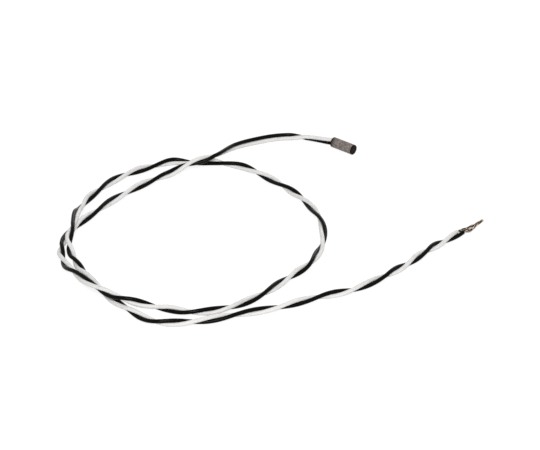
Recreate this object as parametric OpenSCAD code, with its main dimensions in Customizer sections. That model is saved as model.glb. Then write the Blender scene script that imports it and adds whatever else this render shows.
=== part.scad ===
// Resistance temperature detector: a thin-film element potted in a ceramic sleeve, on a twisted pair.
// The sleeve lies along X with its tip towards +X, centred over the origin. Z = 0 is the bench.

/* [Sleeve] */
// Outside diameter of the ceramic sleeve
sleeve_od = 1.9; // [1.8:0.05:2.4]
// Inside diameter of the ceramic sleeve
sleeve_id = 1.5; // [1.5:0.05:1.6]
// Length of the ceramic sleeve
sleeve_len = 4.2; // [4.1:0.1:4.4]
// Radius worn on the sleeve's outer edges
edge_r = 0.03; // [0.02:0.01:0.06]

/* [Potting] */
// How far the potting stands out of each end of the sleeve
cap_len = 0.3; // [0.1:0.05:0.3]
// Depth of the plug behind the rear cap, round the leads
rear_plug = 0.7; // [0.5:0.05:0.7]
// Depth of the plug behind the tip cap
tip_plug = 0.3; // [0.1:0.05:0.3]

/* [Sensing chip] */
// Length of the ceramic chip
chip_len = 1.8; // [1.6:0.05:1.8]
// Width of the ceramic chip
chip_w = 1.2; // [1.16:0.02:1.24]
// Thickness of the ceramic chip
chip_t = 0.25; // [0.15:0.01:0.3]
// Thickness of the platinum film
film_t = 0.02; // [0.01:0.01:0.04]
// Width of the platinum track
track_w = 0.06; // [0.04:0.01:0.08]
// Diameter of the wires welded to the film
wire_d = 0.15; // [0.12:0.01:0.16]

/* [Leads] */
// Outside diameter of each insulated lead
lead_od = 0.72; // [0.66:0.02:0.72]
// Diameter of one bare strand
strand_d = 0.127; // [0.1:0.001:0.128]
// Length of the crimped splice between a lead and its element wire
splice_len = 0.7; // [0.6:0.05:0.7]

/* [Hidden] */
COLOURS = ["black", "white"];
STRANDS = 7;
$fn = 64;

// Along the sleeve: where its ends, plugs, chip and splices lie
axis_z = sleeve_od / 2;
sleeve_end = sleeve_len / 2;
rear_face = rear_plug - sleeve_end;
tip_face = sleeve_end - tip_plug;
chip_x = tip_face - 0.05 - chip_len;
splice_x = rear_face + 0.4;
joint_x = splice_x + splice_len / 2;
pad_len = 0.55;

// The leads leave one above the other, a hair apart, and lie along the sides of a square as they twist
lead_gap = 0.02;
pair_half = (lead_od + lead_gap) / 2;
lead_sides = 8;
strand_sides = 6;
conductor_d = 0.38;
splice_od = 0.56;

// Across the sleeve: the film lies so that the wires bed into it
film_bed = 0.01;
film_top = film_bed - wire_d / 2;
chip_top = film_top - film_t;
glaze_t = 0.06;
bond_r = 0.17;

// The meander runs along the chip in rows, from one pad to the other
rows = 8;
row_pitch = 0.12;
row_start = chip_x + 0.68;
row_end = chip_x + chip_len - 0.1;
pad_w = 0.28;

// Route of the twisted pair: X, Y, Z and the turns made so far, from the sleeve to the bare ends. Most of
// its places are where one lead lies over the other. It climbs only to pass over itself, three times.
PAIR_ROUTE = [
    [-2.6, 0, 0.95, 0], [-3.5, -0.25, 0.9, 0.02], [-7.5, -1.5, 0.75, 0.1], [-10, -3, 0.75, 0.35],
    [-13.5, -7, 0.75, 0.4], [-15.5, -12.5, 1.25, 0.5], [-15.5, -19, 2.25, 0.65],
    [-18, -23.5, 1.75, 1.15], [-19.75, -27.25, 0.75, 1.45], [-21.25, -33, 0.75, 1.9],
    [-21.75, -36.75, 0.75, 2.15], [-22, -43.5, 0.75, 2.6], [-21.25, -52, 0.75, 3.2],
    [-19.5, -56.5, 0.75, 3.5], [-16.75, -59.5, 0.75, 3.95], [-10.75, -62.5, 1.6, 4.5],
    [-5.25, -64, 2.15, 4.85], [0.5, -64, 2.2, 5.35], [7, -60.25, 0.75, 6], [11, -58.5, 0.75, 6.35],
    [15.25, -53.5, 0.75, 6.85], [17.25, -47, 0.75, 7.35], [17.75, -40.75, 0.75, 7.85],
    [18, -34.5, 0.75, 8.4], [16.25, -28.75, 0.75, 8.95], [13.75, -25, 0.75, 9.25],
    [10.25, -21.75, 0.75, 9.6], [4.75, -19, 0.75, 10.1], [-1, -17.5, 0.75, 10.65],
    [-7.5, -16.75, 0.75, 11.15], [-10.5, -16.75, 0.75, 11.4], [-14, -18, 0.75, 11.65],
    [-16, -18.75, 0.75, 11.85], [-19, -21.5, 0.75, 12.2], [-21.75, -23, 0.75, 12.4],
    [-23.5, -26.25, 0.75, 12.65], [-25.75, -31.75, 0.75, 13.15], [-26.25, -38, 0.75, 13.6],
    [-25.25, -44.25, 0.75, 14.1], [-22.5, -49.25, 2.25, 14.35], [-20.75, -52, 2.25, 14.5],
    [-18, -56.25, 1.8, 14.95], [-15.25, -58.25, 0.75, 15.4], [-10.25, -60.75, 0.75, 16],
    [2, -64.25, 0.75, 16.9], [8, -64.25, 0.75, 17.35], [13, -60.5, 0.75, 17.85],
    [17.25, -54.75, 0.75, 18.35], [21.75, -48.5, 0.75, 18.85], [25.25, -42, 0.75, 19.35],
    [28.5, -37, 0.75, 19.85], [30.5, -30, 0.75, 20.35], [31.5, -24.5, 0.75, 20.9],
    [31.75, -19.5, 0.75, 21.35], [32.5, -15.25, 0.75, 21.85], [33.25, -10.5, 0.75, 22.25]];
route_end = PAIR_ROUTE[len(PAIR_ROUTE) - 1];

// Which side of the pair's axis each lead lies on, and the turns at which its jacket is cut
SIDE = [-1, 1];
JACKET_CUT = [22.25, 22.17];

// Routes of the two bundles of bare strands past their jackets, down to the bench and side by side
BARE_ROUTE = [
    [[33.8, -9.8, 0.65], [34, -9.1, 0.45], [33.95, -8.3, 0.35], [33.9, -7.6, 0.35]],
    [[33.05, -10.2, 0.75], [33.25, -9.4, 0.65], [33.35, -8.6, 0.5], [33.4, -7.7, 0.45]]];
// They end twisted into one rope, with half a turn from one point to another
ROPE_FROM = [33.65, -6.9, 0.33];
ROPE_TO = [33.8, -4.7, 0.3];
ROPE_LEGS = 4;

// How far out the strands lie in a jacket, on the outside of the rope and in its core, how far the middle
// of each lead's half is from the rope's, and how much the strands spread where nothing holds them
jacket_ring = 0.135;
rope_ring = 0.225;
rope_core = 0.092;
rope_middle = 0.12;
strand_slack = 1.5;

// Curve through a route's points: it passes each one without a corner and never dips below them
function ease(u) = u * u * (3 - 2 * u);
function mix(a, b, u) = a + (b - a) * u;
function place(p) = [p.x, p.y, p.z];
function across(a, b) = norm([b.x - a.x, b.y - a.y]);
function span(path, i) = across(path[i], path[i + 1]);
function chord(path, i) = (place(path[i + 1]) - place(path[i])) / span(path, i);
function climb(before, after) = before * after > 0 ? 2 * before * after / (before + after) : 0;
function slope(path, i) =
    i == 0 ? chord(path, 0) :
    i == len(path) - 1 ? chord(path, i - 1) :
    let (
        before = chord(path, i - 1),
        after = chord(path, i),
        turn = (before * span(path, i) + after * span(path, i - 1)) / (span(path, i) + span(path, i - 1)))
    [turn.x, turn.y, climb(before.z, after.z)];
function spot(path, i, u) =
    mix(place(path[i]), place(path[i + 1]), ease(u))
    + span(path, i) * u * (1 - u) * ((1 - u) * slope(path, i) - u * slope(path, i + 1));

// Directions level with the bench and square to a heading, towards its right and above it
function right_of(heading) = [heading.y, -heading.x, 0] / norm([heading.x, heading.y]);
function above(heading) = cross(right_of(heading), heading) / norm(heading);

// The pair's axis, and each lead beside it, after a number of turns
function leg(turns, i = 0) =
    i < len(PAIR_ROUTE) - 2 && turns >= PAIR_ROUTE[i + 1][3] ? leg(turns, i + 1) : i;
function axis_at(turns) =
    let (i = leg(turns), from = PAIR_ROUTE[i][3], to = PAIR_ROUTE[i + 1][3])
    spot(PAIR_ROUTE, i, (turns - from) / (to - from));
function corner(k) = pair_half * sqrt(2) * [sin(-45 - 90 * k), cos(-45 - 90 * k)];
function beside(turns) =
    let (k = floor(4 * turns - 0.5))
    mix(corner(k), corner(k + 1), 4 * turns - 0.5 - k);
function lead_at(turns, side) =
    let (
        heading = axis_at(min(turns + 0.01, route_end[3])) - axis_at(max(turns - 0.01, 0)),
        shift = side * beside(turns))
    axis_at(turns) + shift.x * right_of(heading) + shift.y * above(heading);

// Each lead runs out of its hole, then has a ring at every corner of the square, and more where it is slack
function lead_points(i) =
    let (
        slack = [for (k = [0 : 13]) k / 16],
        corners = [for (k = [3 : floor(4 * JACKET_CUT[i] - 0.6)]) (k + 0.5) / 4],
        hole_z = axis_z + SIDE[i] * pair_half)
    concat(
        [[rear_face, 0, hole_z], [-sleeve_end - cap_len, 0, hole_z]],
        [for (turns = concat(slack, corners, [JACKET_CUT[i]])) lead_at(turns, SIDE[i])]);

// Where a strand lies in its bundle: six round the seventh in the jacket, and in the rope five on its
// outside and two in its core, opposite those of the other lead
function in_jacket(k) = k == STRANDS ? [0, 0] : jacket_ring * [sin(60 * k - 180), cos(60 * k - 180)];
function in_rope(k) =
    k < 6 ? rope_ring * [sin(36 * k - 108), cos(36 * k - 108)]
    : rope_core * [sin(90 * k - 585), cos(90 * k - 585)];
function moved_out(middle, heading, out, angle) =
    middle
    + right_of(heading) * (out.x * cos(angle) + out.y * sin(angle))
    + above(heading) * (out.y * cos(angle) - out.x * sin(angle));

// A strand leaves its jacket straight, splays a little as its bundle turns, and lies close in the rope.
// The black lead's half of the rope starts on the right and the white lead's on the left.
function strand_stops(i, k) =
    let (
        points = lead_points(i),
        mouth = points[len(points) - 1],
        straight = mouth - points[len(points) - 2],
        start = -90 * SIDE[i],
        along = ROPE_TO - ROPE_FROM,
        joint = moved_out(ROPE_FROM, along, [0, rope_middle], start),
        mouths = [for (out = [0, 0.12, 0.25]) mouth + out * straight / norm(straight)],
        bare = concat(mouths, BARE_ROUTE[i], [joint]),
        last = len(bare) - 1)
    concat(
        [for (s = [0 : last - 1])
            let (
                share = max(s - 2, 0) / (last - 2),
                out = mix(in_jacket(k), in_rope(k) - [0, rope_middle], share),
                heading = s < 3 ? straight : bare[s + 1] - bare[s - 1])
            moved_out(bare[s], heading, (s < 3 ? 1 : strand_slack) * out, start + 30 * (last - max(s, 2)))],
        [for (s = [0 : ROPE_LEGS])
            moved_out(
                mix(ROPE_FROM, ROPE_TO, s / ROPE_LEGS), along,
                (s == 0 ? 1.2 : 1) * in_rope(k), start - 180 * s / ROPE_LEGS)]);
function strand_points(i, k) =
    let (
        stops = strand_stops(i, k),
        last = len(stops) - 2)
    concat(
        [stops[0]],
        [for (leg = [1 : last], u = [0 : 1 / 3 : 0.9]) spot(stops, leg, u)],
        [stops[last + 1]]);

// A tube with flat sides through a list of points, one ring to a point
module sweep(points, d, sides) {
    last = len(points) - 1;
    rings = [
        for (i = [0 : last])
            let (heading = points[min(i + 1, last)] - points[max(i - 1, 0)])
            for (k = [0 : sides - 1])
                points[i] + d / 2 * (right_of(heading) * sin(360 * k / sides)
                    + above(heading) * cos(360 * k / sides))];
    walls = [
        for (i = [0 : last - 1], k = [0 : sides - 1])
            let (
                a = i * sides + k,
                b = i * sides + (k + 1) % sides)
            each [[a, a + sides, b + sides], [a, b + sides, b]]];
    near_end = [for (k = [0 : sides - 1]) k];
    far_end = [for (k = [sides - 1 : -1 : 0]) last * sides + k];
    polyhedron(rings, concat([near_end], walls, [far_end]));
}

// A bar along X from one place to another, round the sleeve's axis or z above it
module bar(from, to, d, z = 0)
    translate([from, 0, axis_z + z])
        rotate([0, 90, 0])
            cylinder(h = to - from, d = d);

// A flat plate on edge, drawn in X and Z about the sleeve's axis, its face at y = top
module plate(top, t)
    translate([0, top, axis_z])
        rotate([90, 0, 0])
            linear_extrude(t)
                children();

// Outline of a disc or tube with a worn edge at its far end, to be revolved
module worn_profile(r, len, edge) {
    square([r, len - edge]);
    square([r - edge, len]);
    translate([r - edge, len - edge])
        circle(edge);
}

module ceramic_sleeve()
    color("#7d736e")
        translate([0, 0, axis_z])
            rotate([0, 90, 0])
                rotate_extrude()
                    difference() {
                        for (end = [0, 1])
                            mirror([0, end])
                                worn_profile(sleeve_od / 2, sleeve_end, edge_r);
                        translate([-1, -sleeve_end - 1])
                            square([1 + sleeve_id / 2, sleeve_len + 2]);
                    }

// Outline of a cap of potting: it swells from the sleeve's worn edge to the sleeve's width, with a round rim
module cap_profile(edge) {
    r = sleeve_od / 2;
    polygon([[0, 0], [r - edge_r, 0], [r, cap_len - edge], [0, cap_len - edge]]);
    square([r - edge, cap_len]);
    translate([r - edge, cap_len - edge])
        intersection() {
            circle(edge);
            square(edge);
        }
}

// A cap on the end of the sleeve and the plug behind it, facing +X
module potting(plug_len)
    translate([0, 0, axis_z])
        rotate([0, 90, 0]) {
            translate([0, 0, sleeve_end])
                rotate_extrude()
                    cap_profile(0.4 * cap_len);
            translate([0, 0, sleeve_end - plug_len])
                cylinder(h = plug_len, d = sleeve_id);
        }

module tip_potting()
    color("#1b1a1b")
        potting(tip_plug);

module rear_potting()
    color("#1b1a1b")
        difference() {
            mirror([1, 0, 0])
                potting(rear_plug);
            for (side = SIDE)
                bar(-sleeve_end - cap_len - 1, rear_face + 1, lead_od, side * pair_half);
        }

module core_fill()
    color("#d9d5cc")
        difference() {
            bar(rear_face, tip_face, sleeve_id);
            for (side = SIDE) {
                bar(rear_face - 1, joint_x, conductor_d, side * pair_half);
                bar(splice_x, splice_x + splice_len, splice_od, side * pair_half);
                element_wire(side);
            }
            chip_block();
            glaze_block();
            bond_block();
        }

module chip_block()
    plate(chip_top, chip_t)
        translate([chip_x, -chip_w / 2])
            square([chip_len, chip_w]);

module chip_substrate()
    color("white")
        chip_block();

// Rows joined at alternate ends, with a pad at each end of the track
module track()
    plate(film_top, film_t)
        union() {
            for (k = [0 : rows - 1])
                let (end_row = k == 0 || k == rows - 1)
                translate([end_row ? chip_x + 0.3 : row_start, row_z(k) - track_w / 2])
                    square([row_end - (end_row ? chip_x + 0.3 : row_start), track_w]);
            for (k = [0 : rows - 2])
                translate([k % 2 == 0 ? row_end - track_w : row_start, row_z(k) - track_w / 2])
                    square([track_w, row_pitch + track_w]);
            for (side = SIDE)
                translate([chip_x + 0.05, side * pair_half - pad_w / 2])
                    square([pad_len - 0.1, pad_w]);
        }
function row_z(k) = (k - (rows - 1) / 2) * row_pitch;

module platinum_track()
    color("silver")
        difference() {
            track();
            for (side = SIDE)
                element_wire(side);
        }

module glaze_block()
    plate(chip_top + glaze_t, glaze_t)
        translate([chip_x + pad_len, -chip_w / 2 + 0.03])
            square([chip_len - pad_len, chip_w - 0.06]);

module glaze_cover()
    color("#cfd6c8")
        difference() {
            glaze_block();
            track();
        }

// A bead of glass over both welds, flat against the chip
module bond_block()
    translate([chip_x, 0, axis_z])
        rotate([90, 0, 90])
            linear_extrude(pad_len)
                intersection() {
                    union() {
                        for (side = SIDE)
                            translate([0, side * pair_half])
                                circle(bond_r);
                        translate([chip_top, -pair_half])
                            square([bond_r - chip_top, 2 * pair_half]);
                    }
                    translate([chip_top, -chip_w / 2])
                        square([1, chip_w]);
                }

module lead_bond_glass()
    color("#b9c4b4")
        difference() {
            bond_block();
            track();
            for (side = SIDE)
                element_wire(side);
        }

module element_wire(side)
    color("silver")
        bar(joint_x, chip_x + pad_len - 0.1, wire_d, side * pair_half);

// Crimped over the conductor on one side of the joint and the element wire on the other
module splice(side)
    color("#c9c9cc")
        difference() {
            bar(splice_x, splice_x + splice_len, splice_od, side * pair_half);
            bar(splice_x - 1, joint_x, conductor_d, side * pair_half);
            bar(joint_x - 0.1, splice_x + splice_len + 1, wire_d, side * pair_half);
        }

module conductor_end(side)
    color("tan")
        bar(rear_face, joint_x, conductor_d, side * pair_half);

module lead(i)
    color(["#19191b", "#e9e7ec"][i])
        sweep(lead_points(i), lead_od, lead_sides);

module strand(i, k)
    color("#8c7360")
        sweep(strand_points(i, k), strand_d, strand_sides);

ceramic_sleeve();
tip_potting();
rear_potting();
core_fill();
chip_substrate();
platinum_track();
glaze_cover();
lead_bond_glass();
for (i = [0, 1]) {
    element_wire(SIDE[i]);
    splice(SIDE[i]);
    conductor_end(SIDE[i]);
    lead(i);
    for (k = [1 : STRANDS])
        strand(i, k);
}
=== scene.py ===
import math

import bmesh
import bpy
from mathutils import Matrix, Vector, noise


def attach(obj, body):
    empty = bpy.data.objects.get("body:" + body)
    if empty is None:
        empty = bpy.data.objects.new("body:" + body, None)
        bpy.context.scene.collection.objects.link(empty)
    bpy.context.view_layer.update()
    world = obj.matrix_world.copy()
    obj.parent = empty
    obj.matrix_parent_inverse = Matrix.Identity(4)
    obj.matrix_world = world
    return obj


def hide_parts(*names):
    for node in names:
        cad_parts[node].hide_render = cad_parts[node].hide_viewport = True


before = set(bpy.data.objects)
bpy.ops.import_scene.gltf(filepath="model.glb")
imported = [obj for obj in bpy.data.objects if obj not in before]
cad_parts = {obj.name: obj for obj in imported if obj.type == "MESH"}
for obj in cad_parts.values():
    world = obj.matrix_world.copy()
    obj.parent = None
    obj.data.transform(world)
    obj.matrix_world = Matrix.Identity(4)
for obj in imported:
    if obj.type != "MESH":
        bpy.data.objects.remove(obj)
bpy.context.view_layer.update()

# Camera
# A long lens 450 mm from the middle of the loop of cord, in front of it and to its right. It looks
# down on the bench at 33 degrees.
MM = 0.001
lens_place = Vector((233.54, -328.39, 245.09)) * MM
looks_at = Vector((4.59, -28.37, 0)) * MM
camera = bpy.data.objects.new("camera", bpy.data.cameras.new("camera"))
camera.data.lens = 170
camera.data.sensor_width = 36
camera.data.clip_start = 0.01
camera.data.clip_end = 20
camera.location = lens_place
camera.rotation_euler = (looks_at - lens_place).to_track_quat("-Z", "Y").to_euler()
bpy.context.scene.collection.objects.link(camera)
bpy.context.scene.camera = camera

# The two leads
# Stranded copper wire in an extruded PTFE jacket, one black and one white, twisted together with
# about 13.5 mm to a turn. The pair leaves the sleeve's rear, lies loosely in a loop and a half, and
# climbs only to pass over itself. Each jacket is cut off square a few millimetres from the end.
PAIR_ROUTE = [
    (-2.6, 0, 0.95, 0), (-3.5, -0.25, 0.9, 0.02), (-7.5, -1.5, 0.75, 0.1), (-10, -3, 0.75, 0.35),
    (-13.5, -7, 0.75, 0.4), (-15.5, -12.5, 1.25, 0.5), (-15.5, -19, 2.25, 0.65),
    (-18, -23.5, 1.75, 1.15), (-19.75, -27.25, 0.75, 1.45), (-21.25, -33, 0.75, 1.9),
    (-21.75, -36.75, 0.75, 2.15), (-22, -43.5, 0.75, 2.6), (-21.25, -52, 0.75, 3.2),
    (-19.5, -56.5, 0.75, 3.5), (-16.75, -59.5, 0.75, 3.95), (-10.75, -62.5, 1.6, 4.5),
    (-5.25, -64, 2.15, 4.85), (0.5, -64, 2.2, 5.35), (7, -60.25, 0.75, 6), (11, -58.5, 0.75, 6.35),
    (15.25, -53.5, 0.75, 6.85), (17.25, -47, 0.75, 7.35), (17.75, -40.75, 0.75, 7.85),
    (18, -34.5, 0.75, 8.4), (16.25, -28.75, 0.75, 8.95), (13.75, -25, 0.75, 9.25),
    (10.25, -21.75, 0.75, 9.6), (4.75, -19, 0.75, 10.1), (-1, -17.5, 0.75, 10.65),
    (-7.5, -16.75, 0.75, 11.15), (-10.5, -16.75, 0.75, 11.4), (-14, -18, 0.75, 11.65),
    (-16, -18.75, 0.75, 11.85), (-19, -21.5, 0.75, 12.2), (-21.75, -23, 0.75, 12.4),
    (-23.5, -26.25, 0.75, 12.65), (-25.75, -31.75, 0.75, 13.15), (-26.25, -38, 0.75, 13.6),
    (-25.25, -44.25, 0.75, 14.1), (-22.5, -49.25, 2.25, 14.35), (-20.75, -52, 2.25, 14.5),
    (-18, -56.25, 1.8, 14.95), (-15.25, -58.25, 0.75, 15.4), (-10.25, -60.75, 0.75, 16),
    (2, -64.25, 0.75, 16.9), (8, -64.25, 0.75, 17.35), (13, -60.5, 0.75, 17.85),
    (17.25, -54.75, 0.75, 18.35), (21.75, -48.5, 0.75, 18.85), (25.25, -42, 0.75, 19.35),
    (28.5, -37, 0.75, 19.85), (30.5, -30, 0.75, 20.35), (31.5, -24.5, 0.75, 20.9),
    (31.75, -19.5, 0.75, 21.35), (32.5, -15.25, 0.75, 21.85), (33.25, -10.5, 0.75, 22.25)]
turns_at_cut = {"black": 22.25, "white": 22.17}
side_of_pair = {"black": -1, "white": 1}
lead_d = 0.72 * MM
lead_sides = 24
lead_step = 0.25 * MM
sleeve_axis = 0.95 * MM
rear_face = -2.4 * MM
lead_start = -1.4 * MM
buried_steps = 3
conductor_d = 0.4 * MM
conductor_sunk = 0.3 * MM
conductor_lay = 9
hole_taper = 0.002 * MM
cut_rounding = 0.035 * MM
cut_uneven = 0.06 * MM
cut_patch = 0.25 * MM
lead_middle = {
    colour: Vector((0, 0, sleeve_axis + side * lead_d / 2)) for colour, side in side_of_pair.items()}


class Route:
    """A smooth line through places, with the turns made by each. It never dips below them.

    A way is a number of legs along it, such as 2.5 for halfway from the third place to the fourth.
    """

    def __init__(self, places, turns=()):
        self.places = places
        self.turns = turns
        steps = [b - a for a, b in zip(places, places[1:])]
        self.spans = [step.xy.length for step in steps]
        chords = [step / span for step, span in zip(steps, self.spans)]
        self.slopes = [chords[0]]
        for i in range(1, len(chords)):
            before, after = self.spans[i - 1], self.spans[i]
            slope = (chords[i - 1] * after + chords[i] * before) / (before + after)
            fall, rise = chords[i - 1].z, chords[i].z
            slope.z = 2 * fall * rise / (fall + rise) if fall * rise > 0 else 0
            self.slopes.append(slope)
        self.slopes.append(chords[-1])

    def leg(self, way):
        i = min(int(way), len(self.spans) - 1)
        return i, way - i

    def spot(self, way):
        i, u = self.leg(way)
        bend = self.spans[i] * u * (1 - u) * ((1 - u) * self.slopes[i] - u * self.slopes[i + 1])
        return self.places[i].lerp(self.places[i + 1], u * u * (3 - 2 * u)) + bend

    def laid(self, way):
        """The turns made by a way."""
        i, u = self.leg(way)
        return self.turns[i] + (self.turns[i + 1] - self.turns[i]) * u

    def where(self, turns):
        """The way by which so many turns are made."""
        i = max(k for k in range(len(self.spans)) if self.turns[k] <= turns)
        return i + (turns - self.turns[i]) / (self.turns[i + 1] - self.turns[i])

    def beside(self, way, out, angle):
        """The place out from the line at an angle clockwise from above, seen looking along it."""
        near, last = 0.03, len(self.spans)
        heading = self.spot(min(way + near, last)) - self.spot(max(way - near, 0))
        across, above = level(heading)
        return self.spot(way) + out * (across * math.sin(angle) + above * math.cos(angle))

    def ways(self, start, end, step):
        """Even steps along each leg from one way to another, with none right before the last."""
        found, too_near = [start], 0.01
        for i, span in enumerate(self.spans):
            count = math.ceil(span / step)
            found += [i + k / count for k in range(count) if start < i + k / count < end - too_near]
        return found + [end]


def level(heading):
    """Directions to the right of a heading and above it, of which the first is level."""
    across = Vector((heading.y, -heading.x, 0)).normalized()
    return across, across.cross(heading).normalized()


def draw_tube(bm, path, width, sides, reach=0):
    """Draws a ring along a path, and notes at each vertex its place on the straightened tube."""
    layers = bm.verts.layers.float_vector
    straight = layers.get("straight") or layers.new("straight")
    places = []
    for i, spot in enumerate(path):
        heading = path[min(i + 1, len(path) - 1)] - path[max(i - 1, 0)]
        across, above = level(heading)
        turned = Matrix((across, above, heading.normalized())).transposed().to_4x4()
        places.append(Matrix.Translation(spot) @ turned)
    ring = bmesh.ops.create_circle(bm, segments=sides, radius=width / 2, matrix=places[0])["verts"]
    edges = list({edge for vert in ring for edge in vert.link_edges})
    rings = []
    for i, place in enumerate(places):
        if i:
            made = bmesh.ops.extrude_edge_only(bm, edges=edges)["geom"]
            ring = [part for part in made if isinstance(part, bmesh.types.BMVert)]
            edges = [part for part in made if isinstance(part, bmesh.types.BMEdge)]
            bmesh.ops.transform(bm, matrix=place @ places[i - 1].inverted(), verts=ring)
            reach += (path[i] - path[i - 1]).length
        back = place.inverted()
        for vert in ring:
            flat = back @ vert.co
            vert[straight] = (flat.x / MM, flat.y / MM, reach / MM)
        rings.append(ring)
    return rings


def close_end(bm, ring):
    """Fills a tube's open end and returns the new face."""
    edges = {edge for vert in ring for edge in vert.link_edges if edge.is_boundary}
    return bmesh.ops.contextual_create(bm, geom=list(edges))["faces"][0]


def make_piece(name, bm, finish, crease=40):
    """Turns a bmesh into a piece that rides with the part. Edges past crease degrees are sharp."""
    bmesh.ops.recalc_face_normals(bm, faces=bm.faces)
    mesh = bpy.data.meshes.new(name)
    bm.to_mesh(mesh)
    bm.free()
    mesh.polygons.foreach_set("use_smooth", [True] * len(mesh.polygons))
    mesh.set_sharp_from_angle(angle=math.radians(crease))
    mesh.materials.append(finish)
    piece = bpy.data.objects.new(name, mesh)
    bpy.context.scene.collection.objects.link(piece)
    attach(piece, "root")
    return piece


class Tint:
    """A value or colour in a finish. Sums on it add Math nodes, and node() adds any other node."""

    def __init__(self, tree, socket=None):
        self.tree = tree
        self.socket = socket

    def node(self, kind, settings=None, sockets=None, out=0):
        made = self.tree.nodes.new("ShaderNode" + kind)
        for name, value in (settings or {}).items():
            setattr(made, name, value)
        for name, value in (sockets or {}).items():
            if isinstance(value, Tint):
                self.tree.links.new(value.socket, made.inputs[name])
            else:
                made.inputs[name].default_value = value
        return Tint(self.tree, made.outputs[out])

    def math(self, operation, first, second=0.0):
        return self.node("Math", {"operation": operation}, {0: first, 1: second})

    def __add__(self, other):
        return self.math("ADD", self, other)

    def __sub__(self, other):
        return self.math("SUBTRACT", self, other)

    def __rsub__(self, other):
        return self.math("SUBTRACT", other, self)

    def __mul__(self, other):
        return self.math("MULTIPLY", self, other)

    __radd__ = __add__
    __rmul__ = __mul__

    def stretched(self, by):
        """A vector, scaled along each of its axes."""
        return self.node("VectorMath", {"operation": "MULTIPLY"}, {0: self, 1: by})

    def parts(self):
        return [self.node("SeparateXYZ", sockets={0: self}, out=k) for k in range(3)]

    def blend(self, first, second):
        """Goes from the first colour to the second as this value goes from 0 to 1."""
        return self.node("Mix", {"data_type": "RGBA"}, {0: self, 6: first, 7: second}, out=2)

    def grain(self, scale, detail=3.0, roughness=0.55):
        """Uneven tone from 0 to 1 over this vector, with scale patches to its unit."""
        sockets = {"Vector": self, "Scale": scale, "Detail": detail, "Roughness": roughness}
        return self.node("TexNoise", sockets=sockets)

    def between(self, low, high):
        """0 up to one value, 1 from another on, and smooth between them."""
        settings = {"interpolation_type": "SMOOTHSTEP"}
        return self.node("MapRange", settings, {"Value": self, "From Min": low, "From Max": high})


def make_finish(name, paint, **constants):
    """A material whose shader has plain values, and what paint links for each socket it names."""
    material = bpy.data.materials.new(name)
    material.use_nodes = True
    tree = material.node_tree
    shader = tree.nodes["Principled BSDF"]
    for socket, value in constants.items():
        shader.inputs[socket.replace("_", " ")].default_value = value
    for socket, tint in paint(Tint(tree)).items():
        tree.links.new(tint.socket, shader.inputs[socket])
    return material


def relief(height, depth):
    """A normal from a height of 0 to 1, which stands for a depth in metres."""
    return height.node("Bump", sockets={"Height": height, "Distance": depth, "Strength": 1.0})


def rib_lines(around_a, around_b, along, lay, ribs=6):
    """Ridges left by the strands that run round under a surface, with a lay in millimetres."""
    angle = along.math("ARCTAN2", around_a, around_b)
    return along.math("SINE", ribs * angle + (2 * ribs * math.pi / lay) * along) * 0.5 + 0.5


def jacket_finish(name, fresh, handled):
    """Extruded PTFE: lines from the die, the strands just showing through, and handling marks."""

    def paint(tint):
        straight = tint.node("Attribute", {"attribute_name": "straight"}, out="Vector")
        a, b, along = straight.parts()
        die_lines = straight.stretched((9, 9, 0.3)).grain(1, detail=2)
        marks = straight.stretched((1.6, 1.6, 0.5)).grain(1, detail=4, roughness=0.65)
        ribs = rib_lines(a, b, along, conductor_lay)
        worn = marks.between(0.45, 0.75) * 0.45 + die_lines * 0.25 + (1 - ribs) * 0.3
        return {
            "Base Color": worn.blend(fresh, handled),
            "Roughness": 0.13 + 0.2 * marks,
            "Normal": relief(0.5 * ribs + 0.3 * die_lines + 0.2 * marks, depth=0.008 * MM)}

    return make_finish(name, paint, IOR=1.36, Specular_IOR_Level=0.1)


jacket = {
    "black": jacket_finish("black_ptfe", (0.0012, 0.0011, 0.001, 1), (0.0055, 0.0048, 0.0042, 1)),
    "white": jacket_finish("white_ptfe", (0.86, 0.85, 0.84, 1), (0.59, 0.575, 0.56, 1))}
pair = Route([Vector(stop[:3]) * MM for stop in PAIR_ROUTE], [stop[3] for stop in PAIR_ROUTE])
lead_path = {}
for colour, side in side_of_pair.items():
    ways = pair.ways(0, pair.where(turns_at_cut[colour]), lead_step)
    helix = [pair.beside(way, side * lead_d / 2, -2 * math.pi * pair.laid(way)) for way in ways]
    buried = []
    for k in range(buried_steps + 1):
        out = k / buried_steps
        along = lead_start * (1 - out) + rear_face * out
        buried.append(lead_middle[colour] + Vector((along, 0, 0)))
    path = buried + helix
    lead_path[colour] = path

    bm = bmesh.new()
    rings = draw_tube(bm, path, lead_d, lead_sides)
    close_end(bm, rings[0])
    heading = (path[-1] - path[-2]).normalized()
    for vert in rings[-1]:
        vert.co += heading * cut_uneven * noise.noise(vert.co / cut_patch)
    end = close_end(bm, rings[-1])
    rim = list(end.edges)
    jacket_wall = (lead_d - conductor_d) / 2
    bmesh.ops.inset_region(bm, faces=[end], thickness=jacket_wall, use_even_offset=True)
    bmesh.ops.inset_region(bm, faces=[end], thickness=hole_taper, depth=-conductor_sunk)
    bmesh.ops.bevel(
        bm, geom=rim, offset=cut_rounding, offset_type="OFFSET", segments=2, profile=0.5,
        affect="EDGES", material=-1)
    lead = make_piece(f"{colour}_lead_jacket", bm, jacket[colour])
    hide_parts(f"{colour}_lead")

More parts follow.
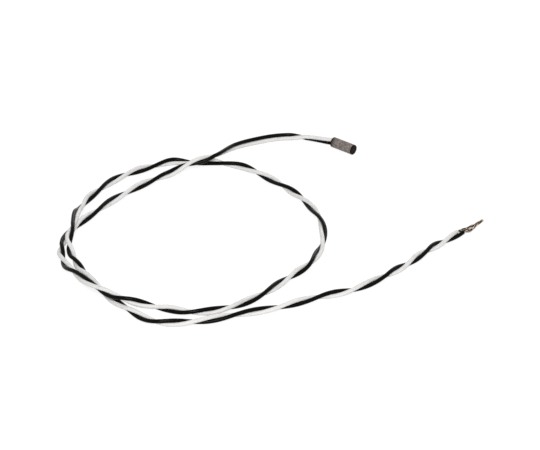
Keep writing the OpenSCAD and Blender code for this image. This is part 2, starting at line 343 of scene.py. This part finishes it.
# The bare strands
# Seven tinned copper strands to a lead, dulled to tan. Past the jackets they splay a little, come
# down to the bench side by side and are twisted by hand into one rope of fourteen, with half a turn.
bare_route = {
    "black": [(33.8, -9.8, 0.65), (34, -9.1, 0.45), (33.95, -8.3, 0.35), (33.9, -7.6, 0.35)],
    "white": [(33.05, -10.2, 0.75), (33.25, -9.4, 0.65), (33.35, -8.6, 0.5), (33.4, -7.7, 0.45)]}
strand_d = 0.127 * MM
strand_sides = 10
strand_step = 0.07 * MM
strand_slack = 1.5
strand_unevenness = 0.2
strand_apart = 20
straight_from_cut = (-0.28, 0, 0.25)
bundle_ring = 0.135 * MM
bundle_turn = math.radians(30)
rope_from = Vector((33.65, -6.9, 0.33)) * MM
rope_to = Vector((33.8, -4.7, 0.3)) * MM
rope_legs = 4
rope_middle = Vector((0, 0.12)) * MM
rope_ring = 0.225 * MM
rope_core = 0.092 * MM
rope_mouth = 1.2
tip_unevenness = 0.05


def in_jacket(k):
    """Six strands round the seventh, which is in the middle."""
    angle = math.radians(60 * k - 180)
    return Vector((math.sin(angle), math.cos(angle))) * (0 if k == 7 else bundle_ring)


def in_rope(k):
    """Five strands outside in the rope and two in its core, opposite those of the other lead."""
    angle = math.radians(36 * k - 108 if k < 6 else 90 * k - 585)
    return Vector((math.sin(angle), math.cos(angle))) * (rope_ring if k < 6 else rope_core)


def moved_out(middle, heading, out, angle):
    """A place beside a bundle's middle, once the bundle has turned to an angle."""
    across, above = level(heading)
    out = Matrix.Rotation(-angle, 2) @ out
    return middle + across * out.x + above * out.y


def paint_strand(tint):
    """Tarnish in patches, which also paint the shade between strands and the glints on them, and
    fine lines from the drawing die, with grey cut ends.

    The patterns of two neighbouring strands start strand_apart millimetres from each other.
    """
    brown, copper, cut_grey = (0.014, 0.009, 0.006, 1), (0.56, 0.44, 0.34, 1), (0.42, 0.43, 0.4, 1)
    straight = tint.node("Attribute", {"attribute_name": "straight"}, out="Vector")
    from_tip = tint.math("MODULO", straight.parts()[2], strand_apart)
    tarnish = straight.stretched((4, 4, 0.9)).grain(1, detail=4, roughness=0.65)
    die_lines = straight.stretched((40, 40, 0.6)).grain(1, detail=2)
    # The near-black brown and bright copper patches are partly tarnish and partly painted shade and
    # painted glints. They stand for the gaps between strands and the light that their twist catches.
    tarnish_shade_and_glints = tarnish.between(0.485, 0.585).blend(brown, copper)
    return {
        "Base Color": from_tip.between(0.35, 0.5).blend(cut_grey, tarnish_shade_and_glints),
        "Roughness": 0.28 + 0.3 * tarnish,
        "Normal": relief(0.7 * die_lines + 0.3 * tarnish, depth=0.003 * MM)}


dulled_strand_and_painted_glints = make_finish("dulled_strand_and_painted_glints", paint_strand, Metallic=0.9)
for colour, side in side_of_pair.items():
    mouth = lead_path[colour][-1]
    straight = (mouth - lead_path[colour][-2]).normalized()
    rope = rope_to - rope_from
    first_angle = -side * math.pi / 2
    joint = moved_out(rope_from, rope, rope_middle, first_angle)
    places = [mouth + straight * out * MM for out in straight_from_cut]
    places += [Vector(stop) * MM for stop in bare_route[colour]] + [joint]
    free = len(straight_from_cut) - 1
    last = len(places) - 1
    bm = bmesh.new()
    for k in range(1, 8):
        stops = []
        for s in range(last):
            out = in_jacket(k).lerp(in_rope(k) - rope_middle, max(s - free, 0) / (last - free))
            heading = straight if s <= free else places[s + 1] - places[s - 1]
            if s > free:
                looseness = noise.noise(Vector((1.37 * k, 0.73 * s, 2.1 * side)))
                out = out * strand_slack * (1 + strand_unevenness * looseness)
            angle = first_angle + bundle_turn * (last - max(s, free))
            stops.append(moved_out(places[s], heading, out, angle))
        for s in range(rope_legs + 1):
            reach = s / rope_legs
            if s == rope_legs:
                reach -= tip_unevenness * abs(noise.noise(Vector((0.9 * k, 5.3, side))))
            out = in_rope(k) * (rope_mouth if s == 0 else 1)
            angle = first_angle - math.pi * reach
            stops.append(moved_out(rope_from + rope * reach, rope, out, angle))
        line = Route(stops)
        path = [line.spot(way) for way in line.ways(0, len(stops) - 1, strand_step)]
        rings = draw_tube(bm, path[::-1], strand_d, strand_sides, strand_apart * k * MM)
        for ring in (rings[0], rings[-1]):
            close_end(bm, ring)
    strands = make_piece(f"{colour}_lead_strands", bm, dulled_strand_and_painted_glints)
    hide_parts(*[f"{colour}_strand_{k}" for k in range(1, 8)])


# The stripped ends in the sleeve
# The other end of each lead's copper, where the jacket is stripped for the splice. The six outer
# strands show as ribs, and the wire has kept more of its own colour than outside.
def give_finish(finish, *nodes):
    """Puts a finish on nodes whose shape comes from the CAD model."""
    for node in nodes:
        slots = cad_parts[node].data.materials
        slots.clear()
        slots.append(finish)


def in_sleeve(tint):
    """Places in the sleeve in millimetres."""
    return tint.node("TexCoord", out="Object").stretched((1 / MM, 1 / MM, 1 / MM))


def from_lead_middle(tint):
    """Millimetres along the sleeve, across it, and up from the nearer lead's middle."""
    x, y, z = in_sleeve(tint).parts()
    return x, y, tint.math("ABSOLUTE", z - sleeve_axis / MM) - lead_d / 2 / MM


def joined(x, y, z):
    """One vector of three values."""
    return x.node("CombineXYZ", sockets={0: x, 1: y, 2: z})


def paint_stripped(tint):
    shade, copper = (0.12, 0.08, 0.05, 1), (0.5, 0.36, 0.25, 1)
    x, y, z = from_lead_middle(tint)
    ribs = rib_lines(y, z, x, conductor_lay)
    tarnish = joined(x, y, z).grain(6, detail=4, roughness=0.6)
    return {
        "Base Color": (0.6 * ribs + 0.4 * tarnish).blend(shade, copper),
        "Roughness": 0.3 + 0.25 * tarnish,
        "Normal": relief(ribs, depth=0.03 * MM)}


stripped_copper = make_finish("stripped_copper", paint_stripped, Metallic=0.9)
give_finish(stripped_copper, "conductor_end_black", "conductor_end_white")


# The splices
# A plated copper tube over each joint of a lead and an element wire. It is crimped with flat-nosed
# pliers near both of its ends, which dulls the plating there.
def paint_splice(tint):
    bright, crimped = (0.66, 0.66, 0.68, 1), (0.38, 0.37, 0.36, 1)
    pitch, shift = 0.35, 1.2
    x, y, z = from_lead_middle(tint)
    crimps = tint.math("SINE", (2 * math.pi / pitch) * x + shift).between(0.3, 0.9)
    plating = joined(x, y, z).grain(9, detail=4, roughness=0.6)
    return {
        "Base Color": (0.7 * plating + 0.3 * crimps).blend(bright, crimped),
        "Roughness": 0.22 + 0.2 * crimps + 0.1 * plating,
        "Normal": relief(0.9 - 0.8 * crimps + 0.1 * plating, depth=0.03 * MM)}


crimped_plating = make_finish("crimped_plating", paint_splice, Metallic=1)
give_finish(crimped_plating, "splice_black", "splice_white")


# The element wires
# Two drawn nickel alloy wires, which run from the splices to their welds on the chip's pads. Welding
# has left a straw tint on parts of them.
def paint_wire(tint):
    nickel, straw = (0.62, 0.61, 0.58, 1), (0.46, 0.42, 0.36, 1)
    x, y, z = from_lead_middle(tint)
    drawn = joined(0.4 * x, 30 * y, 30 * z).grain(1, detail=2)
    heated = joined(x, y, z).grain(4, detail=3)
    return {
        "Base Color": heated.between(0.4, 0.7).blend(nickel, straw),
        "Roughness": 0.25 + 0.2 * drawn,
        "Normal": relief(drawn, depth=0.002 * MM)}


drawn_nickel = make_finish("drawn_nickel", paint_wire, Metallic=1)
give_finish(drawn_nickel, "element_wire_black", "element_wire_white")


# The sensing chip
# A scribed rectangle of fired alumina, and on it the platinum film, which is laid on all over and
# then cut by laser into a meander between two pads.
def paint_alumina(tint):
    white, cream = (0.88, 0.87, 0.84, 1), (0.8, 0.78, 0.72, 1)
    grains = in_sleeve(tint).grain(30, detail=4, roughness=0.7)
    fired = in_sleeve(tint).grain(1.5, detail=2)
    return {
        "Base Color": fired.blend(white, cream),
        "Roughness": 0.55 + 0.2 * grains,
        "Normal": relief(grains, depth=0.004 * MM)}


def paint_film(tint):
    platinum, burnt_edge = (0.8, 0.79, 0.76, 1), (0.6, 0.57, 0.5, 1)
    grains = in_sleeve(tint).grain(60, detail=3, roughness=0.6)
    burnt = in_sleeve(tint).grain(5, detail=3)
    return {
        "Base Color": burnt.between(0.45, 0.8).blend(platinum, burnt_edge),
        "Roughness": 0.2 + 0.25 * grains,
        "Normal": relief(grains, depth=0.001 * MM)}


give_finish(make_finish("fired_alumina", paint_alumina), "chip_substrate")
give_finish(make_finish("platinum_film", paint_film, Metallic=1), "platinum_track")


# The glaze and the bond glass
# Glass paste printed over the meander, and a thicker bead of it over both welds. Both are fired
# until they flow, and keep a few small bubbles.
def paint_glass(tint):
    green, pale = (0.6, 0.67, 0.57, 1), (0.76, 0.8, 0.74, 1)
    flow = in_sleeve(tint).grain(3, detail=2)
    bubbles = in_sleeve(tint).grain(24, detail=2, roughness=0.4).between(0.62, 0.75)
    return {
        "Base Color": (0.6 * flow + 0.4 * bubbles).blend(green, pale),
        "Roughness": 0.08 + 0.15 * bubbles + 0.05 * flow,
        "Normal": relief(flow + 0.2 * bubbles, depth=0.01 * MM)}


fired_glass = make_finish("fired_glass", paint_glass, Transmission_Weight=0.5, IOR=1.52)
give_finish(fired_glass, "glaze_cover", "lead_bond_glass")


# The cement
# Ceramic powder cement, packed round the chip and the splices and baked, so that nothing inside can
# move. It sets lumpy, with fine open pores.
def paint_cement(tint):
    cream, pore_shade_brown = (0.74, 0.7, 0.62, 1), (0.52, 0.47, 0.39, 1)
    place = in_sleeve(tint)
    lumps = place.grain(7, detail=5, roughness=0.65)
    hollows = tint.node("TexVoronoi", sockets={"Vector": place, "Scale": 14.0}).between(0.25, 0.05)
    return {
        # Lumps vary the tone at random. The darker brown in the pores is painted shade.
        "Base Color": (0.6 * lumps + 0.4 * hollows).blend(cream, pore_shade_brown),
        "Roughness": 0.8 + 0.15 * lumps,
        "Normal": relief(lumps - 0.6 * hollows, depth=0.02 * MM)}


give_finish(make_finish("baked_cement", paint_cement), "core_fill")

# The ceramic sleeve
# A short length of grey ceramic tube, extruded, cut and fired without a glaze. Its sharp edges are
# worn round from tumbling, and a little black epoxy has been wiped along it from its rear.
sleeve_r = 0.95 * MM
sleeve_end = 2.1 * MM
bore_r = 0.75 * MM
worn_edges = ((sleeve_r, 0.03 * MM), (bore_r, 0.015 * MM))
edge_found_within = 0.01 * MM
saw_uneven = 0.008 * MM
saw_patch = 0.3 * MM
turn_steps = 96


def turn_outline(bm, outline, closed):
    """Spins an outline of places along and out from the sleeve's axis into a round solid."""
    middle = Vector((0, 0, sleeve_axis))
    verts = [bm.verts.new(middle + Vector((along, 0, out))) for along, out in outline]
    edges = [bm.edges.new(ends) for ends in zip(verts, verts[1:])]
    if closed:
        edges.append(bm.edges.new((verts[-1], verts[0])))
    bmesh.ops.spin(
        bm, geom=verts + edges, cent=middle, axis=(1, 0, 0), angle=2 * math.pi, steps=turn_steps,
        use_merge=True)
    bmesh.ops.remove_doubles(bm, verts=bm.verts, dist=0.0001 * MM)


def from_axis(place):
    """How far a place is from the sleeve's axis."""
    return math.hypot(place.y, place.z - sleeve_axis)


def paint_sleeve(tint):
    """Mottled grey with pits, pale where its edges are rubbed and black where epoxy was wiped."""
    rubbed_grey, epoxy_black = (0.42, 0.39, 0.36, 1), (0.012, 0.009, 0.008, 1)
    place = in_sleeve(tint)
    x, y, z = place.parts()
    up = z - sleeve_axis / MM
    out = tint.math("SQRT", y * y + up * up)
    clouds = place.grain(2.2, detail=4, roughness=0.65)
    specks = place.grain(11, detail=5, roughness=0.75)
    pits = place.grain(26, detail=2, roughness=0.5).between(0.64, 0.74)
    mottle = (0.5 * clouds + 0.5 * specks).between(0.41, 0.58)
    warmth = place.grain(1.1, detail=2).between(0.42, 0.58)
    dark = warmth.blend((0.088, 0.076, 0.065, 1), (0.09, 0.07, 0.066, 1))
    light = warmth.blend((0.29, 0.25, 0.224, 1), (0.3, 0.246, 0.238, 1))
    near_end = tint.math("ABSOLUTE", x).between(2.0, 2.09)
    near_rim = out.between(0.9, 0.945)
    rubbed = near_end * near_rim * specks.between(0.3, 0.6)
    wiped = 0.35 * specks + 0.65 * clouds - 0.5 * (x + 1.93) + 0.09 * up
    smeared = wiped.between(0.43, 0.5)
    ceramic = (0.6 * rubbed).blend(mottle.blend(dark, light), rubbed_grey)
    return {
        "Base Color": (0.92 * smeared).blend(ceramic, epoxy_black),
        "Roughness": 0.88 - 0.35 * smeared - 0.12 * rubbed,
        "Normal": relief(0.5 * specks + 0.3 * clouds - 0.4 * pits, depth=0.02 * MM)}


bm = bmesh.new()
wall = [(-sleeve_end, bore_r), (-sleeve_end, sleeve_r), (sleeve_end, sleeve_r), (sleeve_end, bore_r)]
turn_outline(bm, wall, closed=True)
for out, worn in worn_edges:
    rims = [
        edge for edge in bm.edges
        if edge.verts[0].co.x * edge.verts[1].co.x > 0
        and all(abs(from_axis(vert.co) - out) < edge_found_within for vert in edge.verts)]
    bmesh.ops.bevel(
        bm, geom=rims, offset=worn, segments=4, profile=0.5, affect="EDGES", material=-1)
for vert in bm.verts:
    vert.co.x -= math.copysign(saw_uneven, vert.co.x) * abs(noise.noise(vert.co / saw_patch))
unglazed_ceramic = make_finish("unglazed_ceramic", paint_sleeve)
sleeve = make_piece("grey_ceramic_sleeve", bm, unglazed_ceramic, crease=60)
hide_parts("ceramic_sleeve")

# The potting over the tip
# Black epoxy that seals the sleeve's mouth over the chip. It stands out as a thick bead that swells
# to the sleeve's own width, and has set nearly flat, with a rounded rim.
tip_plug = 1.8 * MM
bead_foot = 0.92 * MM
bead_round = 0.12 * MM
bead_round_steps = 6
bead_face_rings = 26
bead_from = sleeve_end + 0.05 * MM
rim_sunk = 0.015 * MM
face_uneven = 0.012 * MM
face_patch = 0.35 * MM


def bead_outline(plug, face):
    """Outline of a plug in the bore and its bead, from the axis out and back to it."""
    way = math.copysign(1, face)
    flat = sleeve_r - bead_round
    outline = [(plug, 0), (plug, bore_r), (way * sleeve_end, bore_r), (way * sleeve_end, bead_foot)]
    for k in range(bead_round_steps + 1):
        angle = math.pi / 2 * k / bead_round_steps
        along = face - way * bead_round * (1 - math.sin(angle))
        outline.append((along, flat + bead_round * math.cos(angle)))
    return outline + [(face, flat * k / bead_face_rings) for k in range(bead_face_rings - 1, -1, -1)]


def paint_potting(tint):
    black, brown = (0.0012, 0.001, 0.0009, 1), (0.04, 0.024, 0.015, 1)
    place = in_sleeve(tint)
    skin = place.grain(3, detail=3, roughness=0.6)
    dust = place.grain(14, detail=4, roughness=0.7)
    pits = place.grain(18, detail=2, roughness=0.4).between(0.66, 0.76)
    return {
        "Base Color": (0.5 * skin + 0.5 * dust).between(0.46, 0.6).blend(black, brown),
        "Roughness": 0.34 + 0.28 * skin + 0.12 * dust,
        "Normal": relief(0.7 * skin + 0.15 * dust - 0.4 * pits, depth=0.02 * MM)}


black_epoxy = make_finish("black_epoxy", paint_potting, Specular_IOR_Level=0.05)
bm = bmesh.new()
turn_outline(bm, bead_outline(tip_plug, -rear_face), closed=False)
for vert in bm.verts:
    if vert.co.x > bead_from:
        vert.co.x -= (
            rim_sunk * (from_axis(vert.co) / sleeve_r) ** 2
            + face_uneven * abs(noise.noise(vert.co / face_patch)))
tip = make_piece("tip_epoxy", bm, black_epoxy, crease=60)
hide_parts("tip_potting")

# The potting at the rear
# The same epoxy and the same bead, dabbed on round the two leads. It climbs a little way up each
# jacket, and grips both with no gap.
climb = 0.07 * MM
climb_spread = 0.07 * MM
rear_uneven = 0.015 * MM
rear_patch = 0.3 * MM
hole_middle = -2 * MM
hole_length = 1.8 * MM
hole_grip = 0.002 * MM

bm = bmesh.new()
turn_outline(bm, bead_outline(lead_start, rear_face), closed=False)
for vert in bm.verts:
    if vert.co.x < -bead_from:
        gap = min((vert.co - middle).yz.length for middle in lead_middle.values()) - lead_d / 2
        vert.co.x -= climb * math.exp(-max(gap, 0) / climb_spread)
        vert.co.x += rear_uneven * noise.noise(vert.co / rear_patch)
rear = make_piece("rear_epoxy", bm, black_epoxy, crease=60)
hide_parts("rear_potting")

hole_bm = bmesh.new()
hole_r = lead_d / 2 - hole_grip
for middle in lead_middle.values():
    moved = Matrix.Translation(middle + Vector((hole_middle, 0, 0)))
    turned = Matrix.Rotation(math.pi / 2, 4, "Y")
    bmesh.ops.create_cone(
        hole_bm, cap_ends=True, segments=lead_sides, radius1=hole_r, radius2=hole_r,
        depth=hole_length, matrix=moved @ turned)
hole_mesh = bpy.data.meshes.new("lead_holes")
hole_bm.to_mesh(hole_mesh)
hole_bm.free()
holes = bpy.data.objects.new("lead_holes", hole_mesh)
bpy.context.scene.collection.objects.link(holes)
drill = rear.modifiers.new("lead_holes", "BOOLEAN")
drill.operation = "DIFFERENCE"
drill.solver = "EXACT"
drill.object = holes
drilled = bpy.data.meshes.new_from_object(rear.evaluated_get(bpy.context.evaluated_depsgraph_get()))
rear.modifiers.clear()
rear.data = drilled
bpy.data.objects.remove(holes)

# Floor
# A plain white table top, large enough to reach past every view. It is seen as pure white but for
# the soft shadow that the part leaves on it.
floor_reach = 4
floor_bm = bmesh.new()
bmesh.ops.create_grid(floor_bm, x_segments=1, y_segments=1, size=floor_reach)
floor_mesh = bpy.data.meshes.new("floor")
floor_bm.to_mesh(floor_mesh)
floor_bm.free()
floor = bpy.data.objects.new("floor", floor_mesh)
bpy.context.scene.collection.objects.link(floor)


def seen_directly(tint):
    """1 on rays from the camera, a mirror or glass, and 0 on the light that falls on the part."""
    rays = "Is Camera Ray", "Is Glossy Ray", "Is Transmission Ray"
    camera_ray, glossy_ray, glass_ray = [tint.node("LightPath", out=ray) for ray in rays]
    return tint.math("MAXIMUM", camera_ray, tint.math("MAXIMUM", glossy_ray, glass_ray))


floor_finish = bpy.data.materials.new("floor_white")
floor_finish.use_nodes = True
tree = floor_finish.node_tree
tree.nodes.remove(tree.nodes["Principled BSDF"])
tint = Tint(tree)
table = tint.node("BsdfDiffuse", sockets={"Color": (0.8, 0.8, 0.8, 1)})
shadow = tint.node("BsdfDiffuse", sockets={"Color": (0.3, 0.3, 0.3, 1)})
glow = tint.node("Emission", sockets={"Color": (1, 1, 1, 1), "Strength": 0.8})
shown = tint.node("AddShader", sockets={0: shadow, 1: glow})
surface = tint.node("MixShader", sockets={0: seen_directly(tint), 1: table, 2: shown})
tree.links.new(surface.socket, tree.nodes["Material Output"].inputs["Surface"])
floor_mesh.materials.append(floor_finish)

# Studio light
# One large soft light near the camera, a weaker one behind the part, and even light from all round.
# The background is seen as pure white.
world = bpy.data.worlds.new("studio")
bpy.context.scene.world = world
world.use_nodes = True
tree = world.node_tree
tree.nodes.clear()
tint = Tint(tree)
even = tint.node("Background", sockets={"Color": (1, 1, 1, 1), "Strength": 0.3})
white = tint.node("Background", sockets={"Color": (1, 1, 1, 1), "Strength": 1})
sky = tint.node("MixShader", sockets={0: seen_directly(tint), 1: even, 2: white})
tree.links.new(sky.socket, tree.nodes.new("ShaderNodeOutputWorld").inputs["Surface"])


def soft_light(name, azimuth, elevation, distance, size, level_at_part):
    """A square lamp that faces the part. At level 1 it alone shows a facing colour as it is."""
    a, e = math.radians(azimuth), math.radians(elevation)
    away = Vector((math.sin(a) * math.cos(e), -math.cos(a) * math.cos(e), math.sin(e)))
    lamp = bpy.data.objects.new(name, bpy.data.lights.new(name, "AREA"))
    lamp.data.shape = "SQUARE"
    lamp.data.size = size
    lamp.data.energy = level_at_part * (math.pi * distance) ** 2
    lamp.location = looks_at + away * distance
    lamp.rotation_euler = away.to_track_quat("Z", "Y").to_euler()
    bpy.context.scene.collection.objects.link(lamp)


soft_light("key_light", azimuth=36, elevation=42, distance=0.6, size=0.25, level_at_part=0.76)
soft_light("back_light", azimuth=205, elevation=30, distance=0.6, size=0.4, level_at_part=0.4)

bpy.context.scene.view_settings.view_transform = "Standard"
